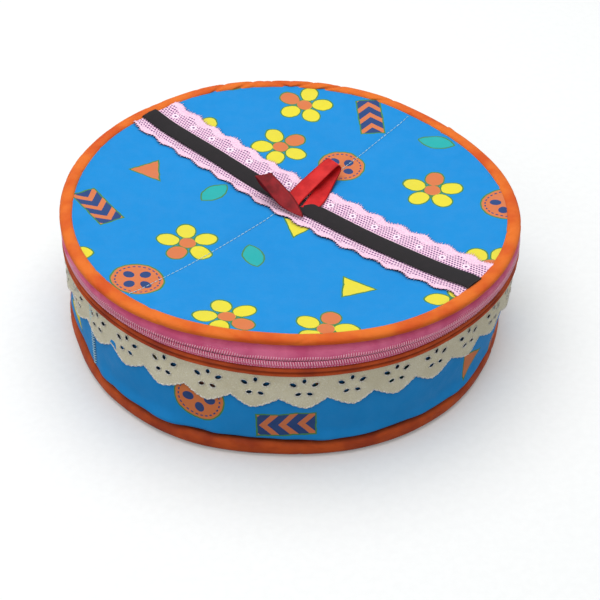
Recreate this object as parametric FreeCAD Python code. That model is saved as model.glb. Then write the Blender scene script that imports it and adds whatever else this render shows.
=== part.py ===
import FreeCAD, Part
import math
import os

# Insulated round chapati box in quilted cloth: a soft drum with a zipped lid.
# Millimetres. +Z up, origin at the middle of the underside, hinge side at +Y.

# Driving dimensions of the drum
OUTER_RADIUS = 140.0
BINDING_PROUD = 3.0
BINDING_BULGE_SHARE = 0.32
BINDING_RISE_SHARE = 0.28
CLOTH = 0.8
WALL_FOAM = 7.0
BOARD = 1.5
BOTTOM_BINDING_HEIGHT = 10.0
BOTTOM_BINDING_DEPTH = 8.0
WALL_TOP = 61.0
RIM_BINDING_HEIGHT = 6.0

# Driving dimensions of the lid
LID_BINDING_HEIGHT = 5.0
LID_BINDING_WIDTH = 8.5
LID_FOAM = 7.0
LID_DISH = 9.0
LID_SEAM = 2.4
LID_PAD_SHOULDER = 9.0
DISH_BANDS = 3

# Trims
SCALLOPS = 32
LACE_DEPTH = 22.0
SCALLOP_DEPTH = 6.0
LACE_THICKNESS = 0.6
LACE_FLARE = 1.6
LOBE_SHOULDER = 0.18
SHOULDER_RISE = 0.25
TRIM_ANGLE = -39.8
TRIM_LACE_WIDTH = 37.0
TRIM_LACE_OFFSET = 13.5
TRIM_THICKNESS = 0.5
TRIM_LIFT = 0.1
STRAP_WIDTH = 13.0
STRAP_OFFSET = 10.0
RIBBON_WIDTH = 12.0
RIBBON_LENGTH = 40.0
RIBBON_ALONG = -4.5
THREAD = 0.7

# Zip
TAPE = 0.6
RIM_CLEARANCE = 0.4
TAPE_SHOWING = 3.6
ROW_GAP = 1.6
TOOTH_HEIGHT = 1.6
TOOTH_DEPTH = 2.2
TOOTH_PITCH = 4.7
TOOTH_LAND = 0.85
ROW_OFFSET_SHARE = 0.25
TEETH_INSET_ANGLE = 0.5
PANEL_HALF_ANGLE = 12.0
STUB_ANGLE = 8.0
END_CLEARANCE_ANGLE = 0.5
RUN_CLEARANCE = 0.5
SLIDER_ANGLE = 5.0
PLATE = 1.0
FLANGE = 0.8
POST_HEIGHT = 0.8
POST_ANGLE = 1.4
BAIL_ROD = 1.2
BAIL_FOOT = 1.2
BAIL_LENGTH = 7.0
ROD_CLEARANCE = 0.4
KNUCKLE_WALL = 0.7
TAB_WIDTH = 6.0
TAB_LENGTH = 22.0
TAB_THICKNESS = 1.0
TAB_CORNER = 1.5

# Places worked out from them
SIDES = 2 * SCALLOPS
AXIS = FreeCAD.Vector(0, 0, 1)
ORIGIN = FreeCAD.Vector(0, 0, 0)
WALL_RADIUS = OUTER_RADIUS - BINDING_PROUD
FOAM_OUTER = WALL_RADIUS - CLOTH
FOAM_INNER = FOAM_OUTER - WALL_FOAM
CAVITY_RADIUS = FOAM_INNER - CLOTH
BINDING_INNER = OUTER_RADIUS - BOTTOM_BINDING_DEPTH
FLOOR_FOAM_BASE = CLOTH + BOARD
TAPE_OUTER = WALL_RADIUS
TAPE_INNER = TAPE_OUTER - TAPE
RIM_TOP = WALL_TOP + RIM_BINDING_HEIGHT
ROW_TIP = ROW_GAP / 2
ROW_BASE = ROW_TIP + TOOTH_HEIGHT
SLIDER_HALF_HEIGHT = ROW_BASE + RUN_CLEARANCE + FLANGE
CHAIN_Z = RIM_TOP + RIM_CLEARANCE + SLIDER_HALF_HEIGHT
TOOTH_INNER = (TAPE_INNER + TAPE_OUTER - TOOTH_DEPTH) / 2
TOOTH_OUTER = TOOTH_INNER + TOOTH_DEPTH
PLATE_FACE = TOOTH_OUTER + RUN_CLEARANCE
PLATE_BACK = PLATE_FACE + PLATE
ROD_RADIUS = PLATE_BACK + BAIL_ROD / 2 + ROD_CLEARANCE + KNUCKLE_WALL + RUN_CLEARANCE
LID_SEAM_Z = CHAIN_Z + SLIDER_HALF_HEIGHT + TAPE_SHOWING
LID_TOP = LID_SEAM_Z + LID_BINDING_HEIGHT
LID_BINDING_INNER = OUTER_RADIUS - LID_BINDING_WIDTH
DISH_RADIUS = (LID_BINDING_INNER ** 2 + LID_DISH ** 2) / (2 * LID_DISH)
LID_EDGE_Z = LID_TOP - (LID_BINDING_HEIGHT - LID_SEAM) / 2
PANEL_START = 90.0 - PANEL_HALF_ANGLE
STUB_START = PANEL_START - STUB_ANGLE
SLIDER_PARK = STUB_START + END_CLEARANCE_ANGLE + SLIDER_ANGLE / 2


def on_flat(radius, degrees):
    """Distance from the axis to the many-sided drum of a radius, at an angle."""
    step = 360.0 / SIDES
    off = (degrees % step) - step / 2
    return radius * math.cos(math.radians(step / 2)) / math.cos(math.radians(off))


def station(section, degrees):
    """The section's (radius, height) corners, stood up at an angle."""
    turn = math.radians(degrees)
    corners = []
    for radius, height in section:
        reach = on_flat(radius, degrees)
        corners.append(FreeCAD.Vector(reach * math.cos(turn), reach * math.sin(turn), height))
    return corners


def facet(corners):
    """A flat face through the corners, without those that fall together."""
    kept = []
    for corner in corners:
        if all(corner.distanceToPoint(other) > 1e-6 for other in kept):
            kept.append(corner)
    if len(kept) < 3:
        return None
    return Part.Face(Part.makePolygon(kept + kept[:1]))


def skinned(stations, closed, split=False):
    """A solid through sections that stand one after another round the drum."""
    faces = []
    pairs = list(zip(stations, stations[1:] + stations[:1]))
    if not closed:
        pairs.pop()
        faces = [facet(stations[0]), facet(stations[-1])]
    for here, there in pairs:
        for i in range(len(here)):
            j = (i + 1) % len(here)
            if split:
                faces.append(facet([here[i], here[j], there[j]]))
                faces.append(facet([here[i], there[j], there[i]]))
            else:
                faces.append(facet([here[i], here[j], there[j], there[i]]))
    shell = Part.Shell([face for face in faces if face])
    solid = Part.Solid(shell)
    if solid.Volume < 0:
        solid.reverse()
    return solid


def turned(section, start=0.0, sweep=360.0):
    """A section carried round the many-sided drum, or round a stretch of it."""
    step = 360.0 / SIDES
    if sweep >= 360:
        return skinned([station(section, i * step) for i in range(SIDES)], True)
    first = math.floor(start / step) + 1
    angles = [start]
    while first * step < start + sweep - 0.01:
        if first * step > start + 0.01:
            angles.append(first * step)
        first += 1
    angles.append(start + sweep)
    return skinned([station(section, angle) for angle in angles], False)


def ring(inner, outer, low, high, start=0.0, sweep=360.0):
    """A plain ring, or a stretch of one."""
    section = [(inner, low), (outer, low), (outer, high), (inner, high)]
    return turned(section, start, sweep)


def arc_block(inner, outer, low, high, start, sweep):
    """A short truly round stretch, for what runs along the zip."""
    corners = [
        FreeCAD.Vector(inner, 0, low),
        FreeCAD.Vector(outer, 0, low),
        FreeCAD.Vector(outer, 0, high),
        FreeCAD.Vector(inner, 0, high),
    ]
    face = Part.Face(Part.makePolygon(corners + corners[:1]))
    block = face.revolve(ORIGIN, AXIS, sweep)
    block.rotate(ORIGIN, AXIS, start)
    return block


def disc(radius, low, high):
    """A flat round layer."""
    return turned([(0, low), (radius, low), (radius, high), (0, high)])


def save(name, shape):
    """Writes one piece to its own file."""
    shape.exportStep("parts/" + name + ".step")


def bulged_section(inner, outer, low, high):
    """A flat inner side and an outer side that swells in three facets."""
    bulge = min(outer - inner, high - low) * BINDING_BULGE_SHARE
    rise = (high - low) * BINDING_RISE_SHARE
    return [
        (inner, low),
        (outer - bulge, low),
        (outer, low + rise),
        (outer, high - rise),
        (outer - bulge, high),
        (inner, high),
    ]


def bottom_pieces():
    """Cover, stiffening board, foam and lining of the floor."""
    save("base_bottom_cover", disc(BINDING_INNER, 0, CLOTH))
    save("base_bottom_board", disc(BINDING_INNER - CLOTH, CLOTH, FLOOR_FOAM_BASE))
    save("base_bottom_foam", disc(BINDING_INNER, FLOOR_FOAM_BASE, BOTTOM_BINDING_HEIGHT))
    top = BOTTOM_BINDING_HEIGHT + CLOTH
    save("base_bottom_lining", disc(FOAM_INNER, BOTTOM_BINDING_HEIGHT, top))
    section = bulged_section(BINDING_INNER, OUTER_RADIUS, 0, BOTTOM_BINDING_HEIGHT)
    save("bottom_binding", turned(section))


def wall_pieces():
    """Outer cover, foam and lining of the wall; the lining turns over the foam's top."""
    low = BOTTOM_BINDING_HEIGHT
    save("base_side_cover", ring(FOAM_OUTER, WALL_RADIUS, low, WALL_TOP))
    save("base_side_foam", ring(FOAM_INNER, FOAM_OUTER, low, WALL_TOP))
    section = [
        (CAVITY_RADIUS, low + CLOTH),
        (FOAM_INNER, low + CLOTH),
        (FOAM_INNER, WALL_TOP),
        (TAPE_INNER, WALL_TOP),
        (TAPE_INNER, WALL_TOP + CLOTH),
        (CAVITY_RADIUS, WALL_TOP + CLOTH),
    ]
    save("base_side_lining", turned(section))
    section = bulged_section(TAPE_OUTER, OUTER_RADIUS, WALL_TOP, RIM_TOP)
    save("rim_binding", turned(section))


def eyelet_lace():
    """Scalloped lace that hangs from the rim seam and flares off the wall."""
    low = WALL_TOP - LACE_DEPTH
    step = 360.0 / SCALLOPS
    # Each scallop is a lobe: shares of its width and how far its edge is drawn up there
    left = (LOBE_SHOULDER, SHOULDER_RISE)
    right = (1 - LOBE_SHOULDER, SHOULDER_RISE)
    lobe = ((0.0, 1.0), left, (0.5, 0.0), right)
    stations = []
    for i in range(SCALLOPS):
        for share, rise in lobe:
            edge = low + rise * SCALLOP_DEPTH
            flare = LACE_FLARE * (WALL_TOP - edge) / LACE_DEPTH
            section = [
                (WALL_RADIUS, WALL_TOP),
                (WALL_RADIUS + flare, edge),
                (WALL_RADIUS + flare + LACE_THICKNESS, edge),
                (WALL_RADIUS + LACE_THICKNESS, WALL_TOP),
            ]
            stations.append(station(section, step * (i + share)))
    save("eyelet_lace", skinned(stations, True, split=True))


def dish_z(radius, above=0.0):
    """Height of the dished lid's face at a radius."""
    drop = DISH_RADIUS - math.sqrt(DISH_RADIUS ** 2 - radius ** 2)
    return LID_EDGE_Z - LID_DISH + drop + above


def dish_line(above, radius):
    """Points out along the dish at an offset from the lid's face."""
    share = radius / DISH_BANDS
    return [(share * i, dish_z(share * i, above)) for i in range(DISH_BANDS + 1)]


def lid_pieces():
    """Cover, foam and lining of the dished lid, and the binding round its edge."""
    face = dish_line(0, LID_BINDING_INNER)
    under_face = dish_line(-CLOTH, LID_BINDING_INNER)
    save("lid_top_cover", turned(face + under_face[::-1]))
    shoulder = LID_BINDING_INNER - LID_PAD_SHOULDER
    under_foam = dish_line(-CLOTH - LID_FOAM, shoulder)
    foam_edge = [(LID_BINDING_INNER, LID_SEAM_Z)]
    save("lid_foam", turned(under_face + foam_edge + under_foam[::-1]))
    under_lining = dish_line(-2 * CLOTH - LID_FOAM, shoulder)
    seam = [
        (LID_BINDING_INNER, LID_SEAM_Z),
        (TAPE_INNER, LID_SEAM_Z),
        (TAPE_INNER, LID_SEAM_Z - CLOTH),
        (LID_BINDING_INNER, LID_SEAM_Z - CLOTH),
    ]
    save("lid_lining", turned(under_foam + seam + under_lining[::-1]))
    section = bulged_section(LID_BINDING_INNER, OUTER_RADIUS, LID_SEAM_Z, LID_TOP)
    save("lid_binding", turned(section))


def over_lid(low, high, along, across):
    """What a layer over the lid's face keeps inside a box at the trims' angle."""
    upper = dish_line(high, LID_BINDING_INNER)
    lower = dish_line(low, LID_BINDING_INNER)
    layer = turned(upper + lower[::-1])
    width = along[1] - along[0]
    length = across[1] - across[0]
    corner = FreeCAD.Vector(along[0], across[0], 0)
    window = Part.makeBox(width, length, 2 * LID_TOP, corner)
    window.rotate(ORIGIN, AXIS, TRIM_ANGLE)
    return layer.common(window).Solids[0]


def span(middle, width):
    """The two ends of a width about its middle."""
    return (middle - width / 2, middle + width / 2)


def lid_trims():
    """Lace, strap, ribbon and topstitch on the lid, lying one on another."""
    whole = span(0, 2 * OUTER_RADIUS)
    lace_top = TRIM_LIFT + TRIM_THICKNESS
    strap_top = lace_top + CLOTH
    ribbon_top = strap_top + 2 * CLOTH
    lace_width = span(TRIM_LACE_OFFSET, TRIM_LACE_WIDTH)
    save("lid_lace", over_lid(TRIM_LIFT, lace_top, whole, lace_width))
    strap_width = span(STRAP_OFFSET, STRAP_WIDTH)
    save("lid_strap", over_lid(lace_top, strap_top, whole, strap_width))
    ribbon_across = span(STRAP_OFFSET, RIBBON_LENGTH)
    ribbon_along = span(RIBBON_ALONG, RIBBON_WIDTH)
    save("red_ribbon", over_lid(strap_top, ribbon_top, ribbon_along, ribbon_across))
    thread_along = span(RIBBON_ALONG, THREAD)
    stitch_top = TRIM_LIFT + THREAD
    runs = []
    for across in ((whole[0], lace_width[0]), (lace_width[1], whole[1])):
        runs.append(over_lid(TRIM_LIFT, stitch_top, thread_along, across))
    save("lid_topstitch", Part.makeCompound(runs))


def teeth(upward, start, sweep):
    """A row of pointed teeth seated on the edge of a tape, short of its two ends."""
    start += TEETH_INSET_ANGLE
    sweep -= 2 * TEETH_INSET_ANGLE
    sign = 1 if upward else -1
    radius = (TOOTH_INNER + TOOTH_OUTER) / 2
    count = int(math.radians(sweep) * radius / TOOTH_PITCH)
    step = sweep / count
    half = TOOTH_PITCH * TOOTH_LAND / 2
    base = CHAIN_Z - sign * ROW_BASE
    tip = CHAIN_Z - sign * ROW_TIP
    shift = ROW_OFFSET_SHARE if upward else 1 - ROW_OFFSET_SHARE
    row = []
    for i in range(count):
        corners = [
            FreeCAD.Vector(TOOTH_INNER, -half, base),
            FreeCAD.Vector(TOOTH_INNER, half, base),
            FreeCAD.Vector(TOOTH_INNER, 0, tip),
        ]
        face = Part.Face(Part.makePolygon(corners + corners[:1]))
        tooth = face.extrude(FreeCAD.Vector(TOOTH_DEPTH, 0, 0))
        tooth.rotate(ORIGIN, AXIS, start + step * (i + shift))
        row.append(tooth)
    return Part.makeCompound(row)


def zip_pieces():
    """Two tapes with their teeth, the stub at the start, and the hinge panel."""
    lower_start = PANEL_START + 2 * PANEL_HALF_ANGLE
    lower_sweep = 360.0 - 2 * PANEL_HALF_ANGLE
    upper_sweep = lower_sweep - STUB_ANGLE
    row_low = CHAIN_Z - ROW_BASE
    row_high = CHAIN_Z + ROW_BASE
    tape = ring(TAPE_INNER, TAPE_OUTER, WALL_TOP, row_low, lower_start, lower_sweep)
    save("lower_zip_tape", tape)
    save("lower_zip_teeth", teeth(True, lower_start, lower_sweep))
    tape = ring(TAPE_INNER, TAPE_OUTER, row_high, LID_SEAM_Z, lower_start, upper_sweep)
    save("upper_zip_tape", tape)
    save("upper_zip_teeth", teeth(False, lower_start, upper_sweep))
    stub_start = STUB_START + END_CLEARANCE_ANGLE / 2
    stub_sweep = STUB_ANGLE - END_CLEARANCE_ANGLE / 2
    top = LID_SEAM_Z - RUN_CLEARANCE
    save("zip_start_tape", ring(TAPE_INNER, TAPE_OUTER, row_high, top, stub_start, stub_sweep))
    save("zip_start_teeth", teeth(False, stub_start, stub_sweep))
    panel_sweep = 2 * PANEL_HALF_ANGLE
    panel = ring(TAPE_INNER, TAPE_OUTER, WALL_TOP, top, PANEL_START, panel_sweep)
    save("hinge_panel", panel)


def slider_pieces():
    """Two plates with tape flanges and the post between the rows; then bail and pull tab."""
    start = SLIDER_PARK - SLIDER_ANGLE / 2
    low = CHAIN_Z - SLIDER_HALF_HEIGHT
    high = CHAIN_Z + SLIDER_HALF_HEIGHT
    body = arc_block(PLATE_FACE, PLATE_BACK, low, high, start, SLIDER_ANGLE)
    inner_plate = TOOTH_INNER - RUN_CLEARANCE
    body = body.fuse(arc_block(inner_plate - PLATE, inner_plate, low, high, start, SLIDER_ANGLE))
    for lip in (low, high - FLANGE):
        lip_top = lip + FLANGE
        outside = TAPE_OUTER + RUN_CLEARANCE
        inside = TAPE_INNER - RUN_CLEARANCE
        body = body.fuse(arc_block(outside, PLATE_FACE, lip, lip_top, start, SLIDER_ANGLE))
        body = body.fuse(arc_block(inner_plate, inside, lip, lip_top, start, SLIDER_ANGLE))
    post_low = CHAIN_Z - POST_HEIGHT / 2
    post = arc_block(inner_plate, PLATE_FACE, post_low, post_low + POST_HEIGHT, start, POST_ANGLE)
    body = body.fuse(post).removeSplitter()
    save("slider_body", body)
    save("slider_bail", bail().cut(body))
    save("pull_tab", pull_tab())


def bail():
    """Two feet on the slider's outer plate that carry a round rod along the zip."""
    rod = Part.makeCylinder(
        BAIL_ROD / 2, BAIL_LENGTH, FreeCAD.Vector(ROD_RADIUS, -BAIL_LENGTH / 2, CHAIN_Z),
        FreeCAD.Vector(0, 1, 0),
    )
    reach = ROD_RADIUS + BAIL_ROD / 2 - PLATE_FACE
    loop = rod
    for side in (-BAIL_LENGTH / 2, BAIL_LENGTH / 2 - BAIL_FOOT):
        foot = Part.makeBox(reach, BAIL_FOOT, BAIL_ROD)
        foot.translate(FreeCAD.Vector(PLATE_FACE, side, CHAIN_Z - BAIL_ROD / 2))
        loop = loop.fuse(foot)
    loop.rotate(ORIGIN, AXIS, SLIDER_PARK)
    return loop


def pull_tab():
    """A knuckle round the bail's rod and a plate that widens as it hangs down."""
    width = BAIL_LENGTH - 2 * BAIL_FOOT - 2 * RUN_CLEARANCE
    centre = FreeCAD.Vector(ROD_RADIUS, -width / 2, CHAIN_Z)
    along = FreeCAD.Vector(0, 1, 0)
    hole = BAIL_ROD / 2 + ROD_CLEARANCE
    knuckle = Part.makeCylinder(hole + KNUCKLE_WALL, width, centre, along)
    face = ROD_RADIUS - TAB_THICKNESS / 2
    neck = CHAIN_Z - BAIL_ROD - RUN_CLEARANCE
    low = CHAIN_Z - TAB_LENGTH
    outline = [
        (-width / 2, CHAIN_Z),
        (-width / 2, neck),
        (-TAB_WIDTH / 2, neck - TAB_CORNER),
        (-TAB_WIDTH / 2, low + TAB_CORNER),
        (-TAB_WIDTH / 2 + TAB_CORNER, low),
        (TAB_WIDTH / 2 - TAB_CORNER, low),
        (TAB_WIDTH / 2, low + TAB_CORNER),
        (TAB_WIDTH / 2, neck - TAB_CORNER),
        (width / 2, neck),
        (width / 2, CHAIN_Z),
    ]
    corners = [FreeCAD.Vector(face, y, z) for y, z in outline]
    sheet = Part.Face(Part.makePolygon(corners + corners[:1]))
    plate = sheet.extrude(FreeCAD.Vector(TAB_THICKNESS, 0, 0))
    tab = knuckle.fuse(plate).cut(Part.makeCylinder(hole, width, centre, along))
    tab.rotate(ORIGIN, AXIS, SLIDER_PARK)
    return tab


os.makedirs("parts", exist_ok=True)
bottom_pieces()
wall_pieces()
eyelet_lace()
lid_pieces()
lid_trims()
zip_pieces()
slider_pieces()
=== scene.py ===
import random
from math import atan2, copysign, cos, degrees, exp, hypot, pi, radians, sin, sqrt

import bpy
from mathutils import Matrix, Vector, noise


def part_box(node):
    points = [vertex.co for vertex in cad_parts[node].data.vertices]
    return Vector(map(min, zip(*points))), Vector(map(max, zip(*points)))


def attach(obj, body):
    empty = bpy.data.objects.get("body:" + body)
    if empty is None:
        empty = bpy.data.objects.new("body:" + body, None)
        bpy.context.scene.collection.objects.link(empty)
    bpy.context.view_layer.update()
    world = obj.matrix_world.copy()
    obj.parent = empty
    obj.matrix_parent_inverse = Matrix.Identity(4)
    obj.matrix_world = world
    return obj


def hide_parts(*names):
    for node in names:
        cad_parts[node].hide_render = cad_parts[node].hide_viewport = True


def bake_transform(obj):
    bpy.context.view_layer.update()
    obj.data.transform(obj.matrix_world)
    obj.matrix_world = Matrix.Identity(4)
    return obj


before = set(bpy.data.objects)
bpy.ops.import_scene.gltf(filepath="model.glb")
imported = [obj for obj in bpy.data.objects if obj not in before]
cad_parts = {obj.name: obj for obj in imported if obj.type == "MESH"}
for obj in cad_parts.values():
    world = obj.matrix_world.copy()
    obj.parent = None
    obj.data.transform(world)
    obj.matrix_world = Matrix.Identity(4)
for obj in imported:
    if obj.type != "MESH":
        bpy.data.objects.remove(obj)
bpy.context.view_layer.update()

MM = 0.001
TURN = 2 * pi


# Sizes read from the parts of model.glb

def reach(node):
    """Outer radius of a round node."""
    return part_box(node)[1][0]


def low(node):
    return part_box(node)[0][2]


def high(node):
    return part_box(node)[1][2]


OUTER = reach("bottom_binding")
WALL = reach("base_side_cover")
WALL_THICKNESS = 8.6 * MM
CAVITY = WALL - WALL_THICKNESS
LID_INNER = reach("lid_top_cover")
BOTTOM_TOP = high("bottom_binding")
RIM_LOW = low("rim_binding")
RIM_TOP = high("rim_binding")
LID_SEAM = low("lid_binding")
LID_TOP = high("lid_binding")
LID_EDGE = high("lid_top_cover")
COVER_THICKNESS = 0.8 * MM
DISH = LID_EDGE - low("lid_top_cover") - COVER_THICKNESS
DISH_PAD = LID_EDGE - DISH - low("lid_lining")
CHAIN = (high("lower_zip_teeth") + low("upper_zip_teeth")) / 2
LACE_LOW = low("eyelet_lace")
SCALLOPS = 32
TRIM_TURN = radians(-39.8)
LACE_MIDDLE = 13.5 * MM
LACE_WIDTH = 37 * MM
HAIRS = 230
STRAP_MIDDLE = 10 * MM
STRAP_WIDTH = 13 * MM
RIBBON_WIDTH = 12 * MM
STITCH_ALONG = -4.0 * MM
SEAM_ANGLE = radians(-144)
THREAD_RADIUS = 0.22 * MM
TAPE_GAP = 0.12 * MM
COIL_PITCH = 1.45 * MM
COIL_RADIUS = 0.95 * MM
COIL_WIRE = 0.33 * MM
ZIP_BULGE = 1.5 * MM
LACE_RISE = 0.8 * MM
LACE_DROP = RIM_LOW - LACE_LOW
PANEL_START = radians(78)
PANEL_END = radians(102)
LOWER_ZIP = (PANEL_END, radians(336))
UPPER_ZIP = (PANEL_END, radians(328))
ZIP_STUB = (radians(70.3), radians(7.6))
# The middle of a round mesh is a tiny hole of this share of its radius
HUB = 0.002

# How far the soft lid's edge stands out and up from a true circle, in mm, every 45 degrees from +X
LID_EASE = [3.0, -2.6, 0.0, -3.0, -2.2, 0.8, -3.5, 0.5]
LID_LIFT = [0.0, 0.0, 0.0, 0.0, 0.0, 0.5, 2.0, 0.8]
# How far the soft wall stands out, in mm: at its foot every 22.5 degrees, at its rim every 45
FOOT_EASE = [-1.0, 0, 0, 0, 0, 0, 0, -1.0, -3.0, -3.8, 0.4, 2.4, 0.2, 1.5, 0.8, -1.5]
RIM_EASE = [5.0, 0.0, 0.0, 0.0, -2.0, 0.0, 0.0, 1.2]


# Small tools

def smooth(a, b, x):
    """0 before a, 1 after b, smooth between."""
    t = min(max((x - a) / (b - a), 0.0), 1.0)
    return t * t * (3 - 2 * t)


def bump_at(x, centre, width):
    """A soft hump of height 1."""
    return exp(-((x - centre) / width) ** 2)


def signed_power(value, exponent):
    """Squares off or pinches a sine or cosine and keeps its sign."""
    return copysign(abs(value) ** exponent, value)


def two_faces(b):
    """For a sheet with two faces: the share across it, and which side it is on."""
    return (b * 2, 1) if b <= 0.5 else (2 - b * 2, -1)


def around(values, phi):
    """A smooth closed curve through evenly spaced values round the drum."""
    n = len(values)
    t = (phi / TURN) % 1.0 * n
    i = int(t)
    f = t - i
    a, b, c, d = (values[(i + k) % n] for k in (-1, 0, 1, 2))
    return b + 0.5 * f * (c - a + f * (2 * a - 5 * b + 4 * c - d + f * (3 * (b - c) + d - a)))


def ripple(phi, pitch, seed, radius=OUTER):
    """Closed noise round the drum, from -1 to 1, with about one wave in each pitch."""
    k = radius / pitch
    return noise.noise(Vector((cos(phi) * k, sin(phi) * k, seed * 7.31))) * 1.6


def lump(point, pitch, seed):
    """Noise in space, from -1 to 1."""
    return noise.noise(Vector(point) / pitch + Vector((seed * 3.7, seed * 1.9, seed * 5.3))) * 1.6


def polar(radius, phi, z):
    return Vector((radius * cos(phi), radius * sin(phi), z))


def from_hinge(phi):
    """Degrees round the drum from the middle of the hinge."""
    return abs((degrees(phi) - 90 + 180) % 360 - 180)


def settle(point):
    """Moves a point of the true drum to where the soft, used drum has it."""
    radius = hypot(point[0], point[1])
    if radius < 1e-6:
        return Vector(point)
    phi = atan2(point[1], point[0])
    weight = smooth(RIM_TOP, LID_SEAM, point[2])
    share = radius / OUTER
    up = smooth(0, RIM_LOW, point[2])
    wall = around(FOOT_EASE, phi) * (1 - up) + around(RIM_EASE, phi) * up
    ease = (around(LID_EASE, phi) * weight + wall * (1 - weight)) * smooth(20, 42, from_hinge(phi))
    grown = radius + ease * MM * share
    lift = weight * around(LID_LIFT, phi) * MM * share * share
    return Vector((point[0] * grown / radius, point[1] * grown / radius, point[2] + lift))


def disc_point(radius, a, height):
    """A settled point of a round sheet, whose height depends on its place."""
    x, y, _ = polar(radius, a * TURN, 0)
    return settle(Vector((x, y, height(x, y))))


def belly(phi):
    """How far the zip's tapes bulge out; nothing near the hinge."""
    return ZIP_BULGE * smooth(28, 55, from_hinge(phi))


def finish_piece(obj, body, material, node=None):
    """Puts a new piece into the scene, on a body, with its material."""
    if obj.name not in bpy.context.scene.collection.all_objects:
        bpy.context.scene.collection.objects.link(obj)
    obj.data.materials.clear()
    obj.data.materials.append(material)
    for polygon in obj.data.polygons:
        polygon.use_smooth = True
    if body:
        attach(obj, body)
    if node:
        nodes = (node,) if isinstance(node, str) else node
        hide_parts(*nodes)


def new_object(name, verts, faces, spots=()):
    """An object with a new mesh; spots are its UV places, one for each face corner."""
    mesh = bpy.data.meshes.new(name)
    mesh.from_pydata(verts, [], faces)
    if spots:
        layer = mesh.uv_layers.new(name="cloth")
        for loop, spot in enumerate(spots):
            layer.data[loop].uv = spot
    mesh.update()
    return bpy.data.objects.new(name, mesh)


def grid(name, nu, nv, place, wrap_u=False, wrap_v=False, uv=None):
    """A mesh of nu by nv faces; place and uv take shares from 0 to 1."""
    cu = nu if wrap_u else nu + 1
    cv = nv if wrap_v else nv + 1
    verts = [place(i / nu, j / nv) for i in range(cu) for j in range(cv)]
    faces = []
    spots = []
    for i in range(nu):
        for j in range(nv):
            cell = ((i, j), (i + 1, j), (i + 1, j + 1), (i, j + 1))
            faces.append([(a % cu) * cv + (b % cv) for a, b in cell])
            spots += [(a / nu, b / nv) for a, b in cell]
    if wrap_v and not wrap_u:
        for end in (0, nu):
            order = range(nv) if end else reversed(range(nv))
            rim = [(end, j) for j in order]
            faces.append([a * cv + b for a, b in rim])
            spots += [(a / nu, b / nv) for a, b in rim]
    return new_object(name, verts, faces, [uv(a, b) for a, b in spots] if uv else spots)


def tube(points, radius, sides=6, closed=False):
    """Vertices and faces of a tube along points."""
    verts = []
    faces = []
    count = len(points)
    for i, point in enumerate(points):
        ahead = points[(i + 1) % count] if closed or i < count - 1 else point
        behind = points[i - 1] if closed or i > 0 else point
        along = (Vector(ahead) - Vector(behind)).normalized()
        side = along.cross(Vector((0, 0, 1)))
        if side.length < 1e-4:
            side = along.cross(Vector((1, 0, 0)))
        side.normalize()
        up = side.cross(along)
        size = radius(i) if callable(radius) else radius
        for k in range(sides):
            a = TURN * k / sides
            verts.append(Vector(point) + side * cos(a) * size + up * sin(a) * size)
    last = count if closed else count - 1
    for i in range(last):
        j = (i + 1) % count
        for k in range(sides):
            m = (k + 1) % sides
            faces.append([i * sides + k, i * sides + m, j * sides + m, j * sides + k])
    if not closed:
        faces.append(list(range(sides)))
        faces.append([(count - 1) * sides + k for k in reversed(range(sides))])
    return verts, faces


def join_parts(name, parts):
    """One object of many (vertices, faces) parts."""
    verts = []
    faces = []
    for part_verts, part_faces in parts:
        start = len(verts)
        verts += part_verts
        faces += [[start + k for k in face] for face in part_faces]
    return new_object(name, verts, faces)


# Materials

def srgb(r, g, b):
    """Linear colour of an sRGB one given from 0 to 255."""
    def line(c):
        c = c / 255
        return c / 12.92 if c <= 0.04045 else ((c + 0.055) / 1.055) ** 2.4
    return (line(r), line(g), line(b), 1.0)


BLUE = srgb(16, 148, 224)
YELLOW = srgb(247, 232, 20)
ORANGE_PRINT = srgb(232, 128, 50)
NAVY = srgb(46, 70, 122)
TEAL = srgb(40, 186, 178)
GREEN = srgb(78, 142, 52)
PRINT_CELL = 54 * MM
PRINT_LEAN = radians(24)
PRINT_SCALE = 1.28
ROSETTE_PITCH = 17 * MM


def operator(kind, flipped=False):
    """A math node as a Python operator."""
    def apply(self, other=0.0):
        pair = (other, self) if flipped else (self, other)
        return self.shader.math(kind, *pair)
    return apply


class Value:
    """An output of a shader node, which can be added, scaled and compared."""

    def __init__(self, shader, socket):
        self.shader = shader
        self.socket = socket

    __add__ = __radd__ = operator("ADD")
    __mul__ = __rmul__ = operator("MULTIPLY")
    __sub__ = operator("SUBTRACT")
    __rsub__ = operator("SUBTRACT", flipped=True)
    __truediv__ = operator("DIVIDE")
    __lt__ = operator("LESS_THAN")
    __gt__ = operator("GREATER_THAN")
    __abs__ = operator("ABSOLUTE")


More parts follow.
